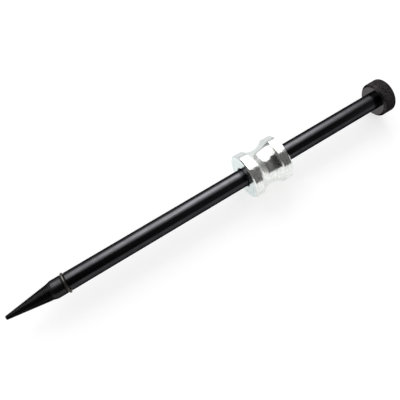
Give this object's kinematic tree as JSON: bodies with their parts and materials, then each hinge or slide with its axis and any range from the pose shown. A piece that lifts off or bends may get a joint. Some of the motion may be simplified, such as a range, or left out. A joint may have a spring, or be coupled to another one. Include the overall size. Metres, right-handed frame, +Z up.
{
  "type": "slide hammer puller",
  "caption": "Hand slide hammer puller: round rod with a tapered screw point, a waisted sliding weight, a wire stop ring and a knurled end knob.",
  "frame": {"origin": "under the middle of the overall length, level with the underside of the weight", "axes": "+X along the rod from the screw point to the knob, +Z up; the rod's axis is 15.5 mm above the origin"},
  "size_m": [0.284, 0.031, 0.031],
  "materials": {
    "black_oxide_steel": "black oxide over fine turned steel, semi-gloss",
    "hardened_black_steel": "hardened and blackened, satin",
    "spring_wire": "drawn spring wire, oiled, dull brownish grey",
    "zinc_plated_steel": "bright zinc plating over turned steel, faint blue and yellow tints",
    "knurled_black_steel": "black oxide over straight knurling, with a turned glossy near face"
  },
  "bodies": {
    "shaft": {"rod": "black_oxide_steel", "screw_tip": "hardened_black_steel", "stop_ring": "spring_wire", "knob": "knurled_black_steel"},
    "weight": {"slide_weight": "zinc_plated_steel"}
  },
  "joints": [
    {"name": "weight_slide", "type": "slide", "parent": "shaft", "child": "weight", "axis": [1, 0, 0], "range_m": [-0.1279, 0.0792]}
  ]
}
